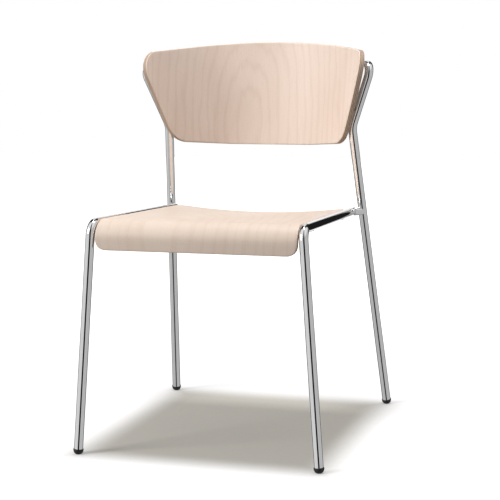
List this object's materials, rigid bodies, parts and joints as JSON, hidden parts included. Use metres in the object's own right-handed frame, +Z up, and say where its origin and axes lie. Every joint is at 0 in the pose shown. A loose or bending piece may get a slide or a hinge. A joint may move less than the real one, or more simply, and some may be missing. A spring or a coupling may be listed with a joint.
{
  "type": "stacking chair",
  "caption": "Stacking chair with a chromed tube frame, a moulded plywood seat between the rails and a wrap-round plywood back.",
  "frame": {"origin": "on the floor, midway between the four feet", "axes": "+Z up, -Y the way the sitter faces, +X to the right as seen from the front"},
  "size_m": [0.516, 0.5839, 0.7955],
  "materials": {
    "chromed_steel": "polished chrome",
    "seat_plywood": "satin lacquered bleached beech",
    "back_plywood": "satin lacquered bleached beech",
    "black_plastic": "satin black",
    "black_rubber": "matte black",
    "brass_insert": "turned",
    "zinc_steel": "zinc plated"
  },
  "bodies": {
    "root": {"rear_frame": "chromed_steel", "front_cross_tube": "chromed_steel", "rear_seat_strap": "chromed_steel", "seat_panel": "seat_plywood", "back_panel": "back_plywood", "side_frame_left": "chromed_steel", "side_frame_right": "chromed_steel", "seat_tab_left": "chromed_steel", "seat_tab_right": "chromed_steel", "foot_cap_front_left": "black_plastic", "foot_cap_front_right": "black_plastic", "foot_cap_rear_left": "black_plastic", "foot_cap_rear_right": "black_plastic", "seat_pad_front_left": "black_rubber", "seat_pad_front_right": "black_rubber", "seat_pad_rear_left": "black_rubber", "seat_pad_rear_right": "black_rubber", "seat_insert_front_left": "brass_insert", "seat_insert_front_right": "brass_insert", "seat_insert_rear_left": "brass_insert", "seat_insert_rear_right": "brass_insert", "seat_washer_front_left": "zinc_steel", "seat_washer_front_right": "zinc_steel", "seat_washer_rear_left": "zinc_steel", "seat_washer_rear_right": "zinc_steel", "seat_screw_front_left": "zinc_steel", "seat_screw_front_right": "zinc_steel", "seat_screw_rear_left": "zinc_steel", "seat_screw_rear_right": "zinc_steel", "back_spacer_outer_left": "black_rubber", "back_spacer_inner_left": "black_rubber", "back_spacer_inner_right": "black_rubber", "back_spacer_outer_right": "black_rubber", "back_insert_outer_left": "brass_insert", "back_insert_inner_left": "brass_insert", "back_insert_inner_right": "brass_insert", "back_insert_outer_right": "brass_insert", "back_washer_outer_left": "zinc_steel", "back_washer_inner_left": "zinc_steel", "back_washer_inner_right": "zinc_steel", "back_washer_outer_right": "zinc_steel", "back_screw_outer_left": "zinc_steel", "back_screw_inner_left": "zinc_steel", "back_screw_inner_right": "zinc_steel", "back_screw_outer_right": "zinc_steel", "back_buffer_left": "black_rubber", "back_buffer_right": "black_rubber", "stacking_buffer_left": "black_plastic", "stacking_buffer_right": "black_plastic"}
  },
  "joints": []
}
